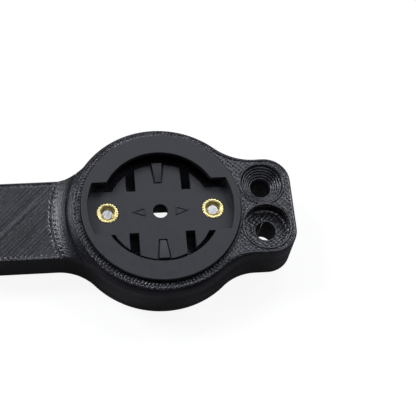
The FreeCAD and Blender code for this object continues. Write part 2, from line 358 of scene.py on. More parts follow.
def arm_outline(step, limit=None):
    """Arm with its far end round, closed inside the disc; or only its part within a radius."""
    centre_high, radius_high, turn_high = blend(ARM_MEET_HIGH, ARM_HIGH)
    centre_low, radius_low, turn_low = blend(ARM_MEET_LOW, ARM_LOW)
    half = (ARM_HIGH - ARM_LOW) / 2
    middle = (ARM_HIGH + ARM_LOW) / 2
    end_x = half - ARM_LENGTH
    far = arc_points(centre_high, radius_high, turn_high, -90, step * 0.6)
    far.append((ARM_MEET_HIGH, ARM_HIGH))
    near = arc_points(centre_low, radius_low, 90, turn_low, step * 0.6)
    near.append(tuple(np.array(centre_low) * DISC_RADIUS / (DISC_RADIUS + radius_low)))
    if limit is None:
        outer = (
            line_points(far[-1], (end_x, ARM_HIGH), step)[1:]
            + arc_points((end_x, middle), half, 90, 270, step)
            + line_points((end_x, ARM_LOW), (ARM_MEET_LOW, ARM_LOW), step)
        )
    else:
        far = far + line_points(far[-1], (end_x, ARM_HIGH), 0.1)
        near = line_points((end_x, ARM_LOW), near[0], 0.1) + near
        far = [p for p in far if math.hypot(*p) < limit]
        near = [p for p in near if math.hypot(*p) < limit]
        first = math.degrees(math.atan2(far[-1][1], far[-1][0]))
        last = math.degrees(math.atan2(near[0][1], near[0][0])) % 360
        outer = arc_points((0, 0), limit, first, last, step)[1:]
    start = math.degrees(math.atan2(near[-1][1], near[-1][0])) % 360
    end = math.degrees(math.atan2(far[0][1], far[0][0]))
    inner = arc_points((0, 0), ARM_INNER_RADIUS, start, end, 1.0)
    return np.array(far + outer + near + inner)


def outward_normals(points):
    """Unit normals of a closed anticlockwise outline."""
    along = np.roll(points, -1, 0) - np.roll(points, 1, 0)
    normals = np.stack([along[:, 1], -along[:, 0]], 1)
    return normals / np.linalg.norm(normals, axis=1)[:, None]


def edge_inset(height, radius):
    """How far the rounded front edge lies inside the outline at a height."""
    above = np.clip(height - (BODY_TOP - radius), 0, radius)
    return radius - np.sqrt(np.maximum(radius**2 - above**2, 0))


def nearest(points, outline, values=None):
    """Distance of points to a closed outline, and the outline's value there."""
    a = outline
    b = np.roll(outline, -1, 0)
    ab = b - a
    best = np.full(len(points), 1e9)
    found = np.zeros(len(points))
    chunk = 2000
    for first in range(0, len(points), chunk):
        p = points[first : first + chunk, None, :]
        t = np.clip(((p - a) * ab).sum(2) / np.maximum((ab**2).sum(1), 1e-12), 0, 1)
        d = np.linalg.norm(p - (a + t[..., None] * ab), axis=2)
        k = d.argmin(1)
        best[first : first + chunk] = d[np.arange(len(k)), k]
        if values is not None:
            found[first : first + chunk] = values[k]
    return best, found


def bead(distance, depth=BEAD_DEPTH):
    """Height of printed lines at a distance across them, zero on the crests."""
    phase = (distance / BEAD) % 1.0
    return -depth * (2 * phase - 1) ** 2


def raster(x, y, cross, fineness=1):
    """Height of diagonal printed lines, uneven along them by a share.

    A fineness above 1 makes them finer and adds a wave as wide as the plain ones.
    """
    u = (y - x) / math.sqrt(2) / RASTER * fineness
    v = (y + x) / math.sqrt(2) / RASTER
    line = np.floor(u).astype(int) % 64
    cell = np.floor(v).astype(int) % 64
    ridge = (1 - (2 * (u % 1.0) - 1) ** 2) * (0.35 + 0.65 * CHANCE[line, 0])
    knot = (1 - (2 * (v % 1.0) - 1) ** 2) * (0.2 + 0.8 * CHANCE[line, cell])
    wave = 0.3 * np.cos(2 * math.pi * u / fineness) if fineness > 1 else 0.0
    return RASTER_DEPTH / fineness**0.8 * (ridge * (1 - cross + cross * knot) - RASTER_SINK + wave)


def pits(along, across, width, depth=0.12):
    """Row of small dips along a line, or of bumps if the depth is negative."""
    cell = np.floor(along / PIT_PITCH + 0.5).astype(int) % 64
    wave = np.maximum(np.cos(2 * math.pi * along / PIT_PITCH), 0) * (0.6 + 0.8 * CHANCE[cell, 1])
    return -depth * wave * np.exp(-((across / width) ** 2))


def inside(points, outline):
    """Whether points lie in a closed outline."""
    x, y = points[:, 0], points[:, 1]
    result = np.zeros(len(points), bool)
    for (x0, y0), (x1, y1) in zip(outline, np.roll(outline, -1, 0)):
        crosses = (y0 > y) != (y1 > y)
        with np.errstate(divide="ignore", invalid="ignore"):
            result ^= crosses & (x < (x1 - x0) * (y - y0) / (y1 - y0) + x0)
    return result


def diagonal_grid(low, high, across, along):
    """Grid of points in a box whose rows follow the diagonal printed lines."""
    centre = (np.array(low) + np.array(high)) / 2
    reach = np.linalg.norm(np.array(high) - np.array(low)) / 2
    root = math.sqrt(2)
    start = round((centre[1] - centre[0]) / root / across) * across
    u = start + np.arange(-reach, reach, across) // across * across
    v = ((centre[0] + centre[1]) / root + np.arange(-reach, reach, along)) // along * along
    uu, vv = np.meshgrid(u, v)
    points = np.stack([((vv - uu) / root).ravel(), ((vv + uu) / root).ravel()], 1)
    return points[np.all((points > low) & (points < high), 1)]


def left_arc(radius, reach, step):
    """Points on an arc about the axis that reaches an angle to each side of the arm's middle."""
    angles = np.arange(math.pi - reach, math.pi + reach, step / radius)
    return np.stack([radius * np.cos(angles), radius * np.sin(angles)], 1)


def inner_points(runs, ring, margin=0.0):
    """Points of several runs that lie in a ring, by more than a margin."""
    points = np.concatenate(runs)
    points = points[inside(points, ring)]
    return points[nearest(points, ring)[0] > margin]


def triangulate(outline, points, height):
    """Surface in an outline and through points: its points, heights, faces and outer points."""
    verts = [Vector(p) for p in outline] + [Vector(p) for p in points]
    polygon = [list(range(len(outline)))]
    found, _, faces, origin, _, _ = delaunay_2d_cdt(verts, [], polygon, 1, 1e-6)
    flat = np.array([tuple(v) for v in found])
    outer = np.array([any(k < len(outline) for k in o) for o in origin])
    return flat, height(flat), faces, outer


def cap(name, outline, points, height, edge):
    """Surface in an outline and through points, with its outer points at the edge's height."""
    flat, z, faces, outer = triangulate(outline, points, height)
    z[outer] = edge
    return new_object(name, np.column_stack([flat, z]), faces)


def edge_round(share):
    """Radius of the front edge's round, from the share of the disc's."""
    return LUG_EDGE_ROUND + share * (DISC_EDGE_ROUND - LUG_EDGE_ROUND)


def to_holes(p):
    """Distances of points to the pocket, the countersink and the recess."""
    return [np.hypot(p[:, 0] - x, p[:, 1] - y) - radius for x, y, radius in FRONT_HOLES]


def to_shoulder(p, outline, shares):
    """Distance of points to the top of the edge's round, and the width of its first layer."""
    distance, share = nearest(p, outline, shares)
    radius = edge_round(share)
    inset = edge_inset(BODY_TOP - LAYER / 2, radius)
    return distance - inset, inset - edge_inset(LEDGE, radius)


def slab_side():
    """Back and layered walls of the disc and lug, and the outline that their front starts from."""
    outline, shares = slab_outline(0.6)
    normals = outward_normals(outline)
    rounds = edge_round(shares)
    rows = []
    straight = int((BODY_TOP - DISC_EDGE_ROUND - WALL_FACE) / LAYER) - 1
    for layer in range(LAYERS - 1):
        low = WALL_FACE + layer * LAYER
        rows.append((low, edge_inset(low, rounds) + GROOVE * (0.6 + CHANCE[layer, 2])))
        for share in (0.5,) if layer < straight else (0.25, 0.5, 0.8):
            rows.append((low + share * LAYER, edge_inset(low + share * LAYER, rounds)))
    rows.append((LEDGE, edge_inset(LEDGE, rounds) + GROOVE))
    rings = [level(outline - normals * inset[:, None], z) for z, inset in rows]
    return tube("slab_side", rings, high_end=False), rings[-1][:, :2]


def slab_height(p, outline, shares):
    """Front of the disc and lug: lines along its edges, diagonal ones between, knots on the rim."""
    edge, width = to_shoulder(p, outline, shares)
    distances = np.stack([edge] + to_holes(p))
    close = distances.min(0)
    along = np.arctan2(p[:, 1], p[:, 0]) * RIM_MIDDLE
    z = np.where(close < BEAD, bead(close, FRONT_BEAD_DEPTH), raster(p[:, 0], p[:, 1], 0.7))
    seat = distances[1]
    cell = np.floor(along / RIM_PITCH + 0.5).astype(int) % 64
    wave = np.cos(2 * math.pi * along / RIM_PITCH) * (0.85 + 0.3 * CHANCE[cell, 1])
    off_line = (seat - RIM_LINE) / RIM_LINE_WIDTH
    rim = -RIM_DEPTH + RIM_KNOT * wave * np.tanh(off_line) - RIM_LINE_DEPTH * np.exp(-(off_line**2))
    z = np.where(edge + seat < RIM_WIDTH, rim, z)
    z = np.where(edge < 0, 0.0, z)
    fall = np.clip(-edge / width, 0, 1)
    z = z - LAYER * (1 - np.sqrt(1 - fall**2))
    dots = pits(along + PIT_PITCH / 2, edge + 0.02, 0.17, 0.16)
    return BODY_TOP + z + np.where(width > 0.2, dots, 0)


def slab_points(outline, shares, ring):
    """Points for the front of the disc and lug, along its lines."""
    normals = outward_normals(outline)
    shoulder = edge_inset(BODY_TOP - LAYER / 2, edge_round(shares))
    flank = shoulder - edge_inset(LEDGE, edge_round(shares))
    runs = []
    for radius in np.arange(SEAT_RADIUS - 0.05, 19.05, 0.09):
        loop = circle(radius, int(2 * math.pi * radius / (RIM_PITCH / 6)))
        runs.append(loop[to_shoulder(loop, outline, shares)[0] > 0.1])
    for x, y, hole in FRONT_HOLES[1:]:
        for gap in (-0.1, 0.04, 0.12, 0.21, 0.3, 0.42, 0.52):
            radius = hole + gap
            loop = circle(radius, int(2 * math.pi * radius / 0.2), x, y)
            others = np.stack([to_shoulder(loop, outline, shares)[0]] + to_holes(loop)).min(0)
            runs.append(loop[others > gap - 0.02])
    lug = (outline[:, 0] > 12) & (shares < 0.95)
    for gap in (0.12, 0.21, 0.32, 0.42, 0.52):
        loop = (outline - normals * (shoulder + gap)[:, None])[lug]
        others = np.stack(to_holes(loop)).min(0)
        runs.append(loop[others > gap - 0.02])
    for share in (-0.2, 0.1, 0.35, 0.6, 0.8, 0.93):
        runs.append(outline - normals * (shoulder - share * flank)[:, None])
    grid = diagonal_grid((15.0, -12.5), (30.0, 11.5), RASTER / 6, RASTER / 6)
    grid = grid[inside(grid, outline)]
    others = np.stack([to_shoulder(grid, outline, shares)[0]] + to_holes(grid)).min(0)
    runs.append(grid[others > 0.55])
    return inner_points(runs, ring, 0.01)


def build_slab():
    """Printed disc and lug, with every layer and the lines of the front face."""
    side, ring = slab_side()
    outline, shares = slab_outline(0.2)
    points = slab_points(outline, shares, ring)
    top = cap("slab_top", ring, points, lambda p: slab_height(p, outline, shares), LEDGE)
    return clean_mesh(join("bracket_print", [side, top]))


def arm_height(p, outline):
    """Front of the arm: dotted lines along its border and its foot, diagonal ones between."""
    x, y = p[:, 0], p[:, 1]
    distance = nearest(p, outline)[0]
    z = np.where(distance < BEAD, bead(distance), raster(x, y, 0.35, 2))
    z = z + pits(x, distance - BORDER_LINE, 0.2, -0.14)
    z = z + pits(x + PIT_PITCH / 2, distance - BORDER_INNER_LINE, 0.2, 0.2)
    beyond = np.hypot(x, y) - COVE_RADIUS
    off_line = beyond - FOOT_LINE
    foot = FOOT_LINE_CREST - FOOT_LINE_DEPTH * (off_line / FOOT_LINE_HALF) ** 2
    z = np.where(np.abs(off_line) < FOOT_LINE_HALF, foot, z)
    z = z + pits(y, off_line, 0.2, -0.12)
    z = z + pits(y + PIT_PITCH / 2, beyond - 0.1, 0.18, 0.15)
    u = (y - x) / math.sqrt(2)
    v = (y + x) / math.sqrt(2)
    run = np.clip((v - STREAK_START) / 3, 0, 1) * np.clip((STREAK_END - v) / 6, 0, 1)
    streak = run * np.exp(-(((u - STREAK_LINE) / STREAK_WIDTH) ** 2))
    return ARM_TOP + z * (1 - 0.8 * streak) + STREAK_HEIGHT * streak


def arm_points(outline, ring):
    """Points for the front of the arm, along its lines."""
    fine = arm_outline(0.25)
    normals = outward_normals(fine)
    outer = np.hypot(fine[:, 0], fine[:, 1]) > DISC_RADIUS + 0.5
    runs = []
    for gap in (0.12, 0.21, 0.32, 0.42, 0.53, 0.63, 0.74, 0.84, 0.95):
        runs.append((fine - normals * gap)[outer])
    for gap in (0.0, 0.1, 0.2, 0.3, 0.42, 0.55, 0.68, 0.8):
        runs.append(inner_points([left_arc(COVE_RADIUS + gap, 0.45, 0.2)], outline, gap + 0.1))
    grid = diagonal_grid((-ARM_LENGTH, -14.0), (-18.5, 14.0), RASTER / 10, RASTER / 3)
    grid = inner_points([grid], outline, 0.98)
    runs.append(grid[np.hypot(grid[:, 0], grid[:, 1]) - COVE_RADIUS > 0.9])
    return inner_points(runs, ring)


def build_arm():
    """Printed arm, with its layers and the lines of its front face."""
    outline = arm_outline(0.6)
    normals = outward_normals(outline)
    count = round((ARM_TOP - WALL_FACE) / LAYER)
    height = (ARM_TOP - WALL_FACE) / count
    rows = []
    for layer in range(count):
        low = WALL_FACE + layer * height
        rows += [(low, GROOVE), (low + height / 2, 0.0)]
    edge = ARM_TOP - ARM_EDGE_DROP
    rows.append((edge, ARM_EDGE_INSET))
    rings = [level(outline - normals * inset, z) for z, inset in rows]
    side = tube("arm_side", rings, high_end=False)
    ring = rings[-1][:, :2]
    top = cap("arm_top", ring, arm_points(outline, ring), lambda p: arm_height(p, outline), edge)
    return clean_mesh(join("arm_print", [side, top]))


def cove_height(p, outline):
    """Hollow ramp that climbs from the arm to a crease, and the disc's round shoulder above it."""
    reach = np.hypot(p[:, 0], p[:, 1])
    inwards = np.clip(COVE_RADIUS - reach, 0, COVE_RADIUS - CREASE_RADIUS)
    ramp = ARM_TOP + COVE_SLOPE * inwards + COVE_BEND * inwards**2 + COVE_STEEPENING * inwards**4
    ramp = ramp + 0.8 * bead(inwards)
    lean = math.asin((SHOULDER_RADIUS - DISC_RADIUS) / DISC_EDGE_ROUND + 1)
    crest = BODY_TOP - DISC_EDGE_ROUND * (1 - math.cos(lean))
    beyond = np.maximum(reach - SHOULDER_RADIUS, 0)
    shoulder = crest - SHOULDER_SINK - math.tan(lean) * beyond - SHOULDER_BEND * beyond**2
    shoulder = shoulder - SHOULDER_DROP * np.maximum(beyond - SHOULDER_DROP_START, 0) ** 1.5
    shoulder = shoulder - SHOULDER_RIPPLE * np.cos(2 * math.pi * shoulder / LAYER)
    z = np.maximum(np.where(reach > CREASE_RADIUS, ramp, ramp - CREASE_DEPTH), shoulder)
    edge = np.minimum(nearest(p, outline)[0], DISC_EDGE_ROUND)
    rounded = np.sqrt(DISC_EDGE_ROUND**2 - (DISC_EDGE_ROUND - edge) ** 2)
    z = np.minimum(z, BODY_TOP - DISC_EDGE_ROUND + rounded)
    z = z + pits(p[:, 1], inwards, 0.15, 0.18)
    return z + pits(p[:, 1] + PIT_PITCH / 2, inwards - 0.5, 0.2)


def build_cove():
    """Climb from the arm to the disc, with walls that reach down into the arm."""
    outline = arm_outline(0.4, COVE_RADIUS)
    normals = outward_normals(outline)
    rows = [(ARM_TOP - 0.5, 0.06), (ARM_TOP - 0.22, 0.04)]
    rings = [level(outline - normals * inset, z) for z, inset in rows]
    ring = rings[-1][:, :2]
    gaps = np.arange(0.1, COVE_RADIUS - SEAT_RADIUS - 1.1, 0.1)
    points = inner_points([left_arc(COVE_RADIUS - gap, 0.7, 0.25) for gap in gaps], ring, 0.08)
    flat, z, faces, outer = triangulate(ring, points, lambda p: cove_height(p, outline))
    z[outer] = np.maximum(cove_height(flat[outer], outline) - 0.03, ARM_TOP - 0.2)
    top = new_object("cove_top", np.column_stack([flat, z]), faces)
    edge = np.flatnonzero(outer)
    order = [int(np.argmin(np.hypot(*(flat[edge] - q).T))) for q in ring]
    rings.append(level(ring, z[edge[order]]))
    side = tube("cove_side", rings, high_end=False)
    return clean_mesh(join("cove", [side, top]))


def layered(radius, low, high):
    """Profile of a hole's wall, with a groove at each layer."""
    rows = []
    z = low
    while z < high - LAYER * 0.6:
        rows += [(radius + GROOVE, z), (radius, z + LAYER / 2)]
        z += LAYER
    return rows


def build_window():
    """Cut for the square window behind the socket."""
    half = WINDOW_HALF - WINDOW_CORNER
    square = []
    for turn, (x, y) in enumerate(((half, half), (-half, half), (-half, -half), (half, -half))):
        square += arc_points((x, y), WINDOW_CORNER, 90 * turn, 90 * turn + 90, 0.3)
        end = math.pi / 2 * (turn + 1)
        square.append((x + WINDOW_CORNER * math.cos(end), y + WINDOW_CORNER * math.sin(end)))
    rings = [level(square, z) for z in (WALL_FACE - CUT_PAST, POCKET_FLOOR + CUT_PAST / 2)]
    return clean_mesh(tube("window", rings))


def build_sink():
    """Cut for the countersunk hole, with its layers and the seam where they start."""
    def seam(angle, radius, height):
        away = abs((angle - math.pi / 2 + math.pi) % (2 * math.pi) - math.pi) * radius
        return -SEAM_HEIGHT * max(0.0, 1 - away / SEAM_HALF) if height > SEAM_FOOT else 0.0

    cone_low = BODY_TOP - 0.12 - (SINK_RADIUS - SINK_HOLE_RADIUS)
    profile = [(SINK_HOLE_RADIUS, WALL_FACE - CUT_PAST)]
    profile += layered(SINK_HOLE_RADIUS, WALL_FACE, cone_low)
    steps = 6
    rise = (SINK_RADIUS - SINK_HOLE_RADIUS) / steps
    for k in range(steps):
        for share, dip in ((0.0, 0.05), (0.25, -0.02), (0.5, -0.05), (0.75, -0.02)):
            along = (k + share) * rise
            profile.append((SINK_HOLE_RADIUS + along + dip, cone_low + along - dip))
    profile += [(SINK_RADIUS - 0.03, BODY_TOP - 0.1), (SINK_RADIUS, BODY_TOP + CUT_PAST)]
    return revolve("sink", profile, 128, (HOLE_X, SINK_Y), seam)


def build_holes():
    """Everything that is cut out of the print."""
    pocket = [(SEAT_RADIUS, POCKET_FLOOR), (SEAT_RADIUS, BODY_TOP + CUT_PAST)]
    cuts = [revolve("pocket", pocket, 256), build_window()]
    seat = [(HEAD_SEAT_RADIUS, WALL_FACE - CUT_PAST), (HEAD_SEAT_RADIUS, HEAD_SEAT)]
    seat += [(SCREW_HOLE_RADIUS, HEAD_SEAT), (SCREW_HOLE_RADIUS, POCKET_FLOOR + CUT_PAST / 2)]
    for x in (-INSERT_X, INSERT_X):
        cuts.append(revolve("seat", seat, 64, (x, 0.0)))
    cuts.append(build_sink())
    hole = [(BORE_HOLE_RADIUS, WALL_FACE - CUT_PAST)]
    hole += layered(BORE_HOLE_RADIUS, WALL_FACE, BORE_FLOOR)
    hole.append((BORE_HOLE_RADIUS, BORE_FLOOR + CUT_PAST / 2))
    cuts.append(revolve("bore_hole", hole, 64, (HOLE_X, BORE_Y)))
    cuts.append(build_recess())
    return cuts


def recess_height(p):
    """Floor of the recess: lines along its wall and its hole, uneven diagonal ones between."""
    away = np.hypot(p[:, 0] - HOLE_X, p[:, 1] - BORE_Y)
    close = np.minimum(BORE_RADIUS - away, np.abs(away - BORE_HOLE_RADIUS))
    lines = np.where(close < BEAD, bead(close), 0.6 * raster(p[:, 0], p[:, 1], 0.5))
    rough = 0.05 * np.sin(p[:, 0] * 5.1 + 1.3 * np.sin(p[:, 1] * 3.7)) * np.sin(p[:, 1] * 4.3)
    return BORE_FLOOR + lines + rough


def build_recess():
    """Cut for the counterbore, with layers in its wall and lines in its floor."""
    rows = [(BORE_RADIUS - 0.05, BORE_FLOOR)] + layered(BORE_RADIUS, BORE_FLOOR + 0.1, BODY_TOP)
    rows += [(BORE_RADIUS, BODY_TOP - 0.05), (BORE_RADIUS, BODY_TOP + CUT_PAST)]
    angles = np.arange(128) * 2 * math.pi / 128
    rings = []
    for radius, z in rows:
        ring = [(HOLE_X + radius * math.cos(a), BORE_Y + radius * math.sin(a), z) for a in angles]
        rings.append(np.array(ring))
    side = tube("recess_side", rings, low_end=False)
    grid = diagonal_grid((17.0, -11.5), (29.5, 0.5), 0.14, 0.2)
    grid = grid[np.hypot(grid[:, 0] - HOLE_X, grid[:, 1] - BORE_Y) < BORE_RADIUS - 0.2]
    floor = cap("recess_floor", rings[0][:, :2], grid, recess_height, BORE_FLOOR)
    return clean_mesh(join("recess", [side, floor]))


def build_strand():
    """Thin strand of plastic that arches over the recess's floor beside the hole."""
    start = np.array((*STRAND_START, BORE_FLOOR - STRAND_SINK))
    end = np.array((*STRAND_END, BORE_FLOOR - STRAND_SINK))
    up = np.array((0, 0, 1))
    side = np.array((end[1] - start[1], start[0] - end[0], 0)) / np.linalg.norm(end - start)
    rings = []
    for share in np.linspace(0, 1, 13):
        middle = start + (end - start) * share + up * STRAND_ARCH * math.sin(math.pi * share)
        middle = middle + side * STRAND_WAVE * math.sin(2 * math.pi * share)
        angles = np.radians((0, 60, 120, 180, 240, 300))
        spokes = [side * math.cos(angle) + up * math.sin(angle) for angle in angles]
        rings.append([middle + STRAND_RADIUS * spoke for spoke in spokes])
    return clean_mesh(tube("strand", rings))


def build_bracket():
    """Bracket with its holes and the strand."""
    body = boolean(build_slab(), build_arm(), "UNION")
    body = boolean(body, build_cove(), "UNION")
    for cut in build_holes():
        body = boolean(body, cut, "DIFFERENCE")
    return boolean(body, build_strand(), "UNION")


def mitred(points):
    """Outward directions of a closed outline that keep its edges parallel when it grows."""
    along = np.roll(points, -1, 0) - points
    along = along / np.linalg.norm(along, axis=1)[:, None]
    after = np.stack([along[:, 1], -along[:, 0]], 1)
    before = np.roll(after, 1, 0)
    return (before + after) / (1 + (before * after).sum(1))[:, None]


def prism(name, outline, rows):
    """Closed solid on an outline from (height, growth) rows, low to high."""
    outline = np.asarray(outline, float)
    out = mitred(outline)
    return clean_mesh(tube(name, [level(outline + out * growth, z) for z, growth in rows]))


def soft_top(low, top):
    """Rows of a solid whose upper edge is rounded."""
    return [(low, 0), (top - SOFT, 0), (top - 0.3 * SOFT, -0.3 * SOFT), (top, -SOFT)]


def soft_mouth(low, top):
    """Rows of a cut whose mouth is rounded."""
    rows = [(low, 0), (top - SOFT, 0), (top - 0.3 * SOFT, 0.3 * SOFT), (top, SOFT)]
    return rows + [(top + CUT_PAST / 2, SOFT)]


def mouth_outline():
    """Lip circle and both wings, anticlockwise."""
    lip = math.degrees(math.asin(WING_HALF / LIP_RADIUS))
    wing = math.degrees(math.asin(WING_HALF / WING_RADIUS))
    points = []
    for turn in (0, 180):
        points += arc_points((0, 0), WING_RADIUS, turn - wing, turn + wing, 0.25)
        points.append(polar(WING_RADIUS, turn + wing))
        points += arc_points((0, 0), LIP_RADIUS, turn + lip, turn + 180 - lip, 0.25)
        points.append(polar(LIP_RADIUS, turn + 180 - lip))
    return np.array(points)


def bridge_outline():
    """Strip across the whole socket that carries the inserts, anticlockwise."""
    turn = math.degrees(math.asin(BRIDGE_HALF / BRIDGE_RADIUS))
    end_x = BRIDGE_RADIUS * math.cos(math.radians(turn))
    points = arc_points((0, 0), BRIDGE_RADIUS, -turn, turn, 0.5)
    points.append((end_x, BRIDGE_HALF))
    points += arc_points((0, 0), BRIDGE_RADIUS, 180 - turn, 180 + turn, 0.5)
    points.append((-end_x, -BRIDGE_HALF))
    return points


def ramp_half(y):
    """Half the width of a detent ramp at a distance from the middle."""
    slope = (RAMP_HALF_OUT - RAMP_HALF_IN) / (PLATEAU_RADIUS - RAMP_START)
    return RAMP_HALF_IN + slope * (y - RAMP_START)


def build_ramp(turn):
    """Detent ramp that climbs and widens outwards."""
    crest = RAMP_START + (PLATEAU_RADIUS - RAMP_START) / 2
    stations = [(RAMP_START, SOFT * 0.5), (crest, RAMP_RISE), (PLATEAU_RADIUS - 0.06, RAMP_RISE)]
    rings = []
    for y, z in stations:
        wide = ramp_half(y)
        flat = wide - SOFT / 2
        low = z - SOFT / 2
        section = [(-wide, -0.6), (wide, -0.6), (wide, low), (flat, z), (-flat, z), (-wide, low)]
        rings.append([(turn * x, turn * y, h) for x, h in section])
    return clean_mesh(tube("ramp", rings))


def ramp_groove(turn):
    """Outline of the groove round a ramp."""
    start = RAMP_START - RAMP_GROOVE
    end = PLATEAU_RADIUS + 0.4
    near = ramp_half(start) + RAMP_GROOVE
    far = ramp_half(end) + RAMP_GROOVE
    corners = [(-near, start), (near, start), (far, end), (-far, end)]
    return [(turn * x, turn * y) for x, y in corners]


def build_mark(side):
    """Small raised triangle that points to an insert."""
    def outline(size):
        tip = MARK_TIP - size * 2.0
        back = MARK_BACK + size
        wide = MARK_HALF - size * 1.6
        corners = [(back, -wide), (tip, 0.0), (back, wide)]
        if side < 0:
            corners = [(-x, y) for x, y in corners][::-1]
        return [(x + side * MARK_X, y) for x, y in corners]

    solid = prism("mark", outline(0.0), [(-0.3, 0), (0.1, 0), (0.22, -0.12)])
    hole = prism("mark_hole", outline(MARK_LINE), [(0.0, 0), (0.1, 0), (0.24, 0.12)])
    return boolean(solid, hole, "DIFFERENCE")


def socket_cuts():
    """Everything that is cut out of the socket's floor."""
    cuts = [prism("hole", circle(CENTRE_RADIUS, 96), soft_mouth(FLOOR_UNDER - CUT_PAST, 0.0))]
    for side in (-1, 1):
        seat = circle(INSERT_HOLE, 96, side * INSERT_X)
        cuts.append(prism("seat", seat, [(POCKET_FLOOR - CUT_PAST, 0), (CUT_PAST, 0)]))
        cuts.append(prism("groove", ramp_groove(side), soft_mouth(RAMP_GROOVE_FLOOR, 0.0)))
        for end in (-1, 1):
            x0, x1 = sorted((side * SLOT_NEAR_X, side * SLOT_FAR_X))
            y0, y1 = sorted((end * SLOT_START, end * (PLATEAU_RADIUS + 0.8)))
            box = [(x0, y0), (x1, y0), (x1, y1), (x0, y1)]
            cuts.append(prism("slot", box, soft_mouth(FLOOR_UNDER - CUT_PAST, 0.0)))
    return cuts


def build_socket():
    """Moulded socket with its undercut lip, wings, slotted floor, bosses and ramps."""
    profile = [(SOCKET_RADIUS, POCKET_FLOOR)]
    for a in np.radians((90, 67.5, 45, 22.5, 0)):
        radius = SOCKET_RADIUS - SOCKET_EDGE + SOCKET_EDGE * math.sin(a)
        profile.append((radius, SOCKET_TOP - SOCKET_EDGE + SOCKET_EDGE * math.cos(a)))
    body = revolve("socket", profile, 256)
    under = [(WING_RADIUS, POCKET_FLOOR - CUT_PAST), (WING_RADIUS, LIP_UNDER)]
    body = boolean(body, revolve("under", under, 256), "DIFFERENCE")
    mouth = prism("mouth", mouth_outline(), soft_mouth(LIP_UNDER - CUT_PAST, SOCKET_TOP))
    body = boolean(body, mouth, "DIFFERENCE")
    for name, outline in (("bridge", bridge_outline()), ("plateau", circle(PLATEAU_RADIUS, 256))):
        body = boolean(body, prism(name, outline, soft_top(FLOOR_UNDER, 0.0)), "UNION")
    for side in (-1, 1):
        boss = circle(BOSS_RADIUS, 64, side * INSERT_X)
        body = boolean(body, prism("boss", boss, [(POCKET_FLOOR, 0), (-0.5, 0)]), "UNION")
    for cut in socket_cuts():
        body = boolean(body, cut, "DIFFERENCE")
    for side in (-1, 1):
        body = boolean(body, build_ramp(side), "UNION")
        body = boolean(body, build_mark(side), "UNION")
    body.name = "socket_moulding"
    return body


def lathe(name, stations, columns, centre, ring):
    """Solid from (radius, height) stations, closed by two end faces or into a ring.

    A radius may be a function of the angle.
    """
    angles = np.arange(columns) * 2 * math.pi / columns
    points = []
    for radius, height in stations:
        r = radius(angles) if callable(radius) else np.full(columns, radius)
        points.append(level(np.column_stack([centre + r * np.cos(angles), r * np.sin(angles)]), height))
    if ring:
        faces = strip_faces(len(stations), columns)
        last = (len(stations) - 1) * columns
        faces += [(last + k, last + (k + 1) % columns, (k + 1) % columns, k) for k in range(columns)]
        return clean_mesh(new_object(name, np.concatenate(points), faces), 0.0002)
    return clean_mesh(tube(name, points), 0.0002)


def thread(core, height):
    """Radius of a right-hand thread at a height, as a function of the angle."""
    def radius(angles):
        phase = (height / THREAD_PITCH - angles / (2 * math.pi)) % 1.0
        return core + THREAD_DEPTH * (1 - np.abs(2 * phase - 1))

    return radius


def build_insert(side, name):
    """Knurled brass insert with a groove round it and a threaded bore."""
    def lobes(inset, share=1.0):
        def radius(angles):
            wave = np.abs(np.sin(KNURL_COUNT * angles / 2))
            return INSERT_RADIUS - inset - share * KNURL_DEPTH * (1 - wave)

        return radius

    stations = [(1.9, INSERT_FOOT), (2.2, INSERT_FOOT)]
    stations += [(lobes(0.1), INSERT_FOOT + 0.15), (lobes(0), INSERT_FOOT + 0.25)]
    stations += [(lobes(0), -2.4), (2.15, -2.3), (2.15, -1.55), (lobes(0), -1.45)]
    stations += [(lobes(0), -0.08), (lobes(0.02), 0.0), (lobes(0.08, 0.8), 0.07)]
    stations += [(lobes(0.18, 0.5), INSERT_TOP), (1.93, INSERT_TOP), (1.88, INSERT_TOP - 0.02)]
    stations += [(thread(INSERT_CORE, z), z) for z in np.arange(-0.22, -3.6, -THREAD_STEP)]
    stations.append((1.7, INSERT_FOOT + 0.12))
    return lathe(name, stations, KNURL_COUNT * 10, side * INSERT_X, True)


def build_screw(side, name):
    """Cap screw with its thread and a hexagon socket in its head."""
    def hexagon(size):
        def radius(angles):
            return size / np.cos((angles + math.pi / 6) % (math.pi / 3) - math.pi / 6)

        return radius

    stations = [(0.05, -7.45), (hexagon(0.95), -7.5), (hexagon(1.0), -8.5)]
    stations += [(hexagon(1.1), SCREW_FOOT), (2.3, SCREW_FOOT), (2.6, -8.5)]
    stations += [(HEAD_RADIUS, -8.25), (HEAD_RADIUS, -6.7), (2.7, HEAD_SEAT), (1.5, HEAD_SEAT)]
    stations += [(thread(SCREW_CORE, z), z) for z in np.arange(-6.4, -0.8, THREAD_STEP)]
    stations += [(1.16, -0.68), (1.08, SCREW_TIP), (0.05, SCREW_TIP)]
    return lathe(name, stations, 96, side * INSERT_X, False)


bracket = smooth(build_bracket(), 40)
socket = smooth(build_socket(), 50)
even = socket.modifiers.new("even", "WEIGHTED_NORMAL")
even.keep_sharp = True
even.weight = 80
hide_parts("bracket")
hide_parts("quarter_turn_socket")
inserts = []
screws = []
for side, word in ((-1, "left"), (1, "right")):
    insert = smooth(build_insert(side, "insert_" + word), 35)
    screw = smooth(build_screw(side, "cap_screw_" + word), 35)
    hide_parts("brass_insert_" + word)
    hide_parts("screw_" + word)
    inserts.append(insert)
    screws.append(screw)
for piece in [bracket, socket] + inserts + screws:
    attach(piece, "root")


# Materials


def material(name):
    """New material and its shader."""
    made = bpy.data.materials.new(name)
    made.use_nodes = True
    return made, made.node_tree.nodes["Principled BSDF"]


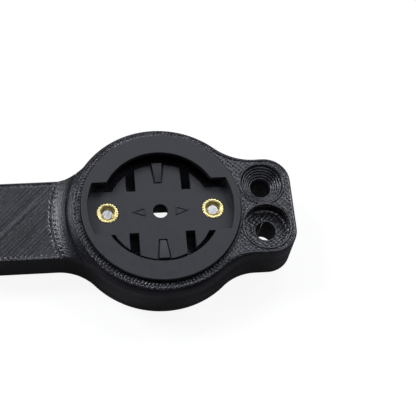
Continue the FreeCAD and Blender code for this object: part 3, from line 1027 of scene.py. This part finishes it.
def node(made, kind, **values):
    """Add a node and set its inputs and properties."""
    found = made.node_tree.nodes.new(kind)
    for key, value in values.items():
        if key in found.inputs:
            found.inputs[key].default_value = value
        else:
            setattr(found, key, value)
    return found


def link(made, source, target):
    """Connect two sockets."""
    made.node_tree.links.new(source, target)


def noise(made, place, **values):
    """Noise fixed to the object: its value's socket."""
    found = node(made, "ShaderNodeTexNoise", **values)
    link(made, place.outputs["Object"], found.inputs["Vector"])
    return found.outputs["Fac"]


def spread(made, source, limits, results):
    """Number between two results, as the source goes between two limits."""
    found = node(made, "ShaderNodeMapRange")
    found.inputs["From Min"].default_value, found.inputs["From Max"].default_value = limits
    found.inputs["To Min"].default_value, found.inputs["To Max"].default_value = results
    link(made, source, found.inputs["Value"])
    return found.outputs["Result"]


def tint(made, shader, source, limits, colours):
    """Colour the surface between two colours, as the source goes between two limits."""
    found = node(made, "ShaderNodeValToRGB")
    for element, position, colour in zip(found.color_ramp.elements, limits, colours):
        element.position = position
        element.color = (*colour, 1)
    link(made, source, found.inputs["Fac"])
    link(made, found.outputs["Color"], shader.inputs["Base Color"])


def roughen(made, shader, height, **values):
    """Fine relief from a source."""
    found = node(made, "ShaderNodeBump", **values)
    link(made, height, found.inputs["Height"])
    link(made, found.outputs["Normal"], shader.inputs["Normal"])
    return found


def printed_material():
    """Black printed plastic: glossy lines with a fine grain on the front faces, uneven in tone."""
    made, shader = material("printed_black")
    shader.inputs["Specular IOR Level"].default_value = 0.6
    place = node(made, "ShaderNodeTexCoord")
    grain = noise(made, place, Scale=2600.0, Detail=3.0, Roughness=0.6)
    patch = noise(made, place, Scale=180.0, Detail=4.0)
    tint(made, shader, patch, (0.3, 0.72), ((0.011, 0.0108, 0.0145), (0.025, 0.025, 0.032)))
    link(made, spread(made, grain, (0.3, 0.7), (0.14, 0.3)), shader.inputs["Roughness"])
    facing = node(made, "ShaderNodeSeparateXYZ")
    link(made, place.outputs["Normal"], facing.inputs["Vector"])
    front = spread(made, facing.outputs["Z"], (0.4, 0.9), (0.04, 1.0))
    relief = roughen(made, shader, grain, Distance=0.00008)
    link(made, front, relief.inputs["Strength"])
    return made


def moulded_material():
    """Black moulded plastic: satin with a very fine grain, slightly uneven in tone and sheen."""
    made, shader = material("moulded_black")
    place = node(made, "ShaderNodeTexCoord")
    grain = noise(made, place, Scale=3800.0, Detail=3.0, Roughness=0.6)
    patch = noise(made, place, Scale=650.0, Detail=4.0, Roughness=0.6)
    tint(made, shader, patch, (0.35, 0.68), ((0.013, 0.0145, 0.019), (0.025, 0.0245, 0.029)))
    link(made, spread(made, patch, (0.35, 0.65), (0.42, 0.64)), shader.inputs["Roughness"])
    roughen(made, shader, grain, Strength=0.2, Distance=0.00003)
    return made


def metal_material(name, low, high, roughness):
    """Bright metal with a fine grain and a slight change of tone."""
    made, shader = material(name)
    shader.inputs["Metallic"].default_value = 1.0
    place = node(made, "ShaderNodeTexCoord")
    grain = noise(made, place, Scale=2200.0, Detail=4.0)
    tint(made, shader, grain, (0.35, 0.65), (low, high))
    rough = spread(made, grain, (0.3, 0.7), (roughness * 0.8, roughness * 1.2))
    link(made, rough, shader.inputs["Roughness"])
    roughen(made, shader, grain, Strength=0.25, Distance=0.00003)
    return made


def dress(piece, made):
    """Give a piece its material."""
    piece.data.materials.clear()
    piece.data.materials.append(made)


PRINTED = printed_material()
MOULDED = moulded_material()
BRASS = metal_material("brass", (0.86, 0.68, 0.26), (0.97, 0.88, 0.45), 0.36)
STEEL = metal_material("steel", (0.68, 0.68, 0.69), (0.82, 0.82, 0.82), 0.35)

dress(bracket, PRINTED)
dress(socket, MOULDED)
for insert, screw in zip(inserts, screws):
    dress(insert, BRASS)
    dress(screw, STEEL)


# Stage


PAPER_COLOUR = (0.17, 0.17, 0.17, 1)
PAPER_GLOW = 0.89
PAPER_GLOSSY_SHARE = 0.02
FLOOR_HALF = 4000
FLOOR_DROP = 0.05
ROOM_LIGHT = 0.004
LAMP_DISTANCE = 1.5
LAMP_SIZE = 0.5
LAMP_COLOUR = (0.96, 0.98, 1.05)


def paper_material():
    """Surface that the camera sees as white wherever no shadow falls, and reflections faintly."""
    made, shader = material("paper")
    shader.inputs["Base Color"].default_value = PAPER_COLOUR
    shader.inputs["Roughness"].default_value = 0.9
    shader.inputs["Specular IOR Level"].default_value = 0.0
    shader.inputs["Emission Color"].default_value = (1, 1, 1, 1)
    path = node(made, "ShaderNodeLightPath")
    dim = node(made, "ShaderNodeMath", operation="MULTIPLY")
    dim.inputs[1].default_value = PAPER_GLOSSY_SHARE
    link(made, path.outputs["Is Glossy Ray"], dim.inputs[0])
    seen = node(made, "ShaderNodeMath", operation="MAXIMUM")
    link(made, path.outputs["Is Camera Ray"], seen.inputs[0])
    link(made, dim.outputs[0], seen.inputs[1])
    clear = node(made, "ShaderNodeMath", operation="MAXIMUM")
    link(made, seen.outputs[0], clear.inputs[0])
    link(made, path.outputs["Is Transmission Ray"], clear.inputs[1])
    strength = node(made, "ShaderNodeMath", operation="MULTIPLY")
    strength.inputs[1].default_value = PAPER_GLOW
    link(made, clear.outputs[0], strength.inputs[0])
    link(made, strength.outputs[0], shader.inputs["Emission Strength"])
    return made


corners = [(-1, -1), (1, -1), (1, 1), (-1, 1)]
sheet = level(np.array(corners) * FLOOR_HALF, WALL_FACE - FLOOR_DROP)
floor = new_object("floor", sheet, [(0, 1, 2, 3)])
floor.data.materials.append(paper_material())

world = bpy.data.worlds.new("room")
bpy.context.scene.world = world
world.use_nodes = True
world.node_tree.nodes["Background"].inputs["Color"].default_value = (1, 1, 1, 1)
world.node_tree.nodes["Background"].inputs["Strength"].default_value = ROOM_LIGHT


def towards(azimuth, elevation):
    """Direction from the part; azimuth 0 is the viewer's side, 90 the lug's, 180 behind."""
    a, e = math.radians(azimuth), math.radians(elevation)
    return Vector((math.sin(a) * math.cos(e), -math.cos(a) * math.cos(e), math.sin(e)))


def facing_back(direction):
    """Turn of a lamp or camera that stands in a direction and looks back along it."""
    return direction.to_track_quat("Z", "Y").to_matrix().to_4x4()


def lamp(name, azimuth, elevation, power):
    """Square soft lamp that looks at the part."""
    data = bpy.data.lights.new(name, "AREA")
    data.shape = "SQUARE"
    data.size = LAMP_SIZE
    data.energy = power
    data.color = LAMP_COLOUR
    thing = bpy.data.objects.new(name, data)
    bpy.context.scene.collection.objects.link(thing)
    back = towards(azimuth, elevation)
    thing.matrix_world = Matrix.Translation(back * LAMP_DISTANCE) @ facing_back(back)


LAMPS = [
    ("top", 0, 75, 2.3),
    ("behind", 180, 25, 1.9),
    ("behind_right", 160, 45, 4.5),
    ("left", 234, 42, 11.6),
    ("left_low", 243, 12, 0.9),
    ("right", 126, 42, 4.2),
    ("right_side", 90, 58, 1.9),
    ("behind_left", 196, 41, 2.0),
]
for name, azimuth, elevation, power in LAMPS:
    lamp(name, azimuth, elevation, power)


# Camera

CAMERA_AZIMUTH = -11.79
CAMERA_ELEVATION = 63.47
CAMERA_ROLL = 7.94
CAMERA_DISTANCE = 265.05
FOCAL_PIXELS = 1200.0
WIDTH, HEIGHT = 416, 418
CENTRE = (161.21, 205.32)
SENSOR = 36.0
LOOK_AT_HEIGHT = 2.8

camera_data = bpy.data.cameras.new("camera")
camera = bpy.data.objects.new("camera", camera_data)
bpy.context.scene.collection.objects.link(camera)
back = towards(CAMERA_AZIMUTH, CAMERA_ELEVATION)
place = back * CAMERA_DISTANCE * MM + Vector((0, 0, LOOK_AT_HEIGHT)) * MM
roll = Matrix.Rotation(math.radians(CAMERA_ROLL), 4, "Z")
camera.matrix_world = Matrix.Translation(place) @ facing_back(back) @ roll
camera_data.sensor_width = SENSOR
camera_data.sensor_height = SENSOR
camera_data.sensor_fit = "AUTO"
camera_data.lens = FOCAL_PIXELS * SENSOR / HEIGHT
camera_data.shift_x = (WIDTH / 2 - CENTRE[0]) / HEIGHT
camera_data.shift_y = -(HEIGHT / 2 - CENTRE[1]) / HEIGHT
camera_data.clip_start = 0.01
bpy.context.scene.camera = camera

bpy.context.scene.view_settings.view_transform = "Standard"
